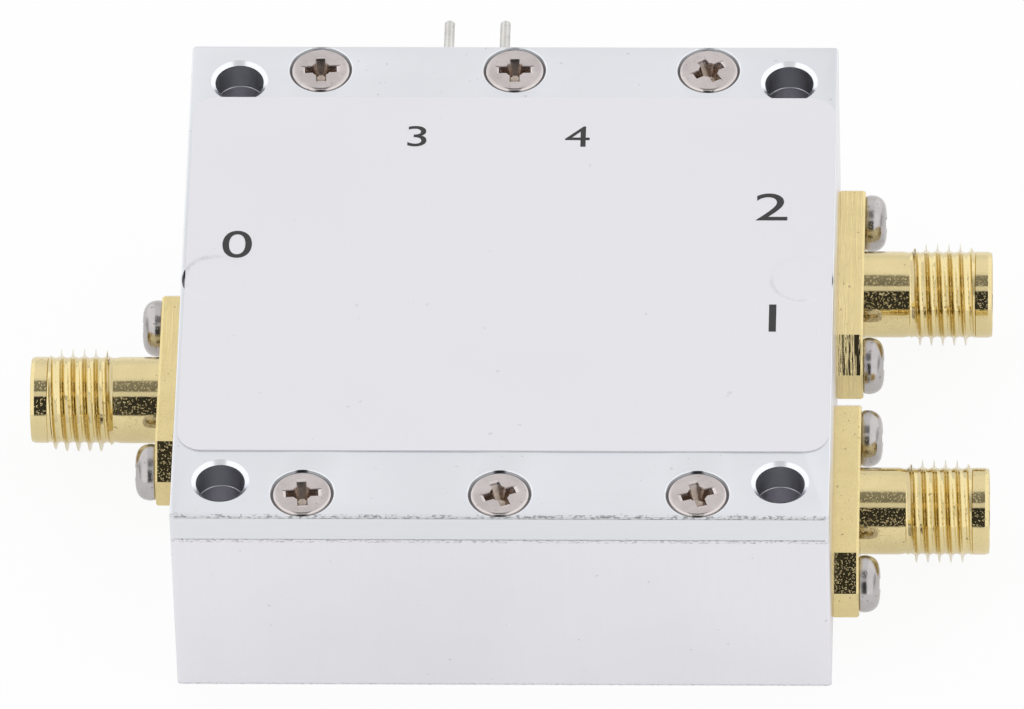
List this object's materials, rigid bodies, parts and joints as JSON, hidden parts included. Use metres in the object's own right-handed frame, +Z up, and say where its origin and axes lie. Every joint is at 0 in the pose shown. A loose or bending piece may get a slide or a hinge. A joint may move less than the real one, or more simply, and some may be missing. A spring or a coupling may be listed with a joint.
{
  "type": "coaxial antenna switch",
  "caption": "Milled metal box with a screwed cover, threaded coaxial jacks on its sides and supply pins at the back; switches an antenna line between its ports.",
  "frame": {"origin": "middle of the box's underside, at the centre of the four mounting holes", "axes": "+Z up through the cover; +X towards the side with two jacks; +Y towards the supply pins"},
  "size_m": [0.059, 0.0529, 0.0151],
  "materials": {
    "milled_box": "milled and lightly brushed, bare",
    "cover_plate": "milled flat, fine grain",
    "label_film": "smooth satin white film",
    "nickel_screw": "nickel plated, worn bright",
    "gold_plate": "bright gold plating",
    "insulator": "waxy white fluoropolymer",
    "tinned_wire": "tinned wire",
    "glass_bead": "fused glass bead",
    "board_laminate": "solder-masked laminate",
    "track_copper": "gold-flashed copper",
    "chip_mould": "black moulding compound",
    "capacitor_ceramic": "brown ceramic with tinned caps",
    "resistor_ceramic": "black film on white ceramic",
    "solder": "bright solder"
  },
  "bodies": {
    "root": {"housing": "milled_box", "cover": "cover_plate", "label": "label_film", "cover_screws": "nickel_screw", "flange_screws": "nickel_screw", "board_screws": "nickel_screw", "supply_pin": "tinned_wire", "control_pin": "tinned_wire", "feedthrough_eyelets": "gold_plate", "feedthrough_beads": "glass_bead", "circuit_board": "board_laminate", "copper_tracks": "track_copper", "switch_chip": "chip_mould", "switch_chip_terminals": "solder", "blocking_capacitors": "capacitor_ceramic", "decoupling_capacitors": "capacitor_ceramic", "control_resistor": "resistor_ceramic", "supply_choke": "resistor_ceramic", "solder_joints": "solder", "common_jack_shell": "gold_plate", "common_jack_insulator": "insulator", "common_jack_contact": "gold_plate", "port_one_jack_shell": "gold_plate", "port_one_jack_insulator": "insulator", "port_one_jack_contact": "gold_plate", "port_two_jack_shell": "gold_plate", "port_two_jack_insulator": "insulator", "port_two_jack_contact": "gold_plate"}
  },
  "joints": []
}
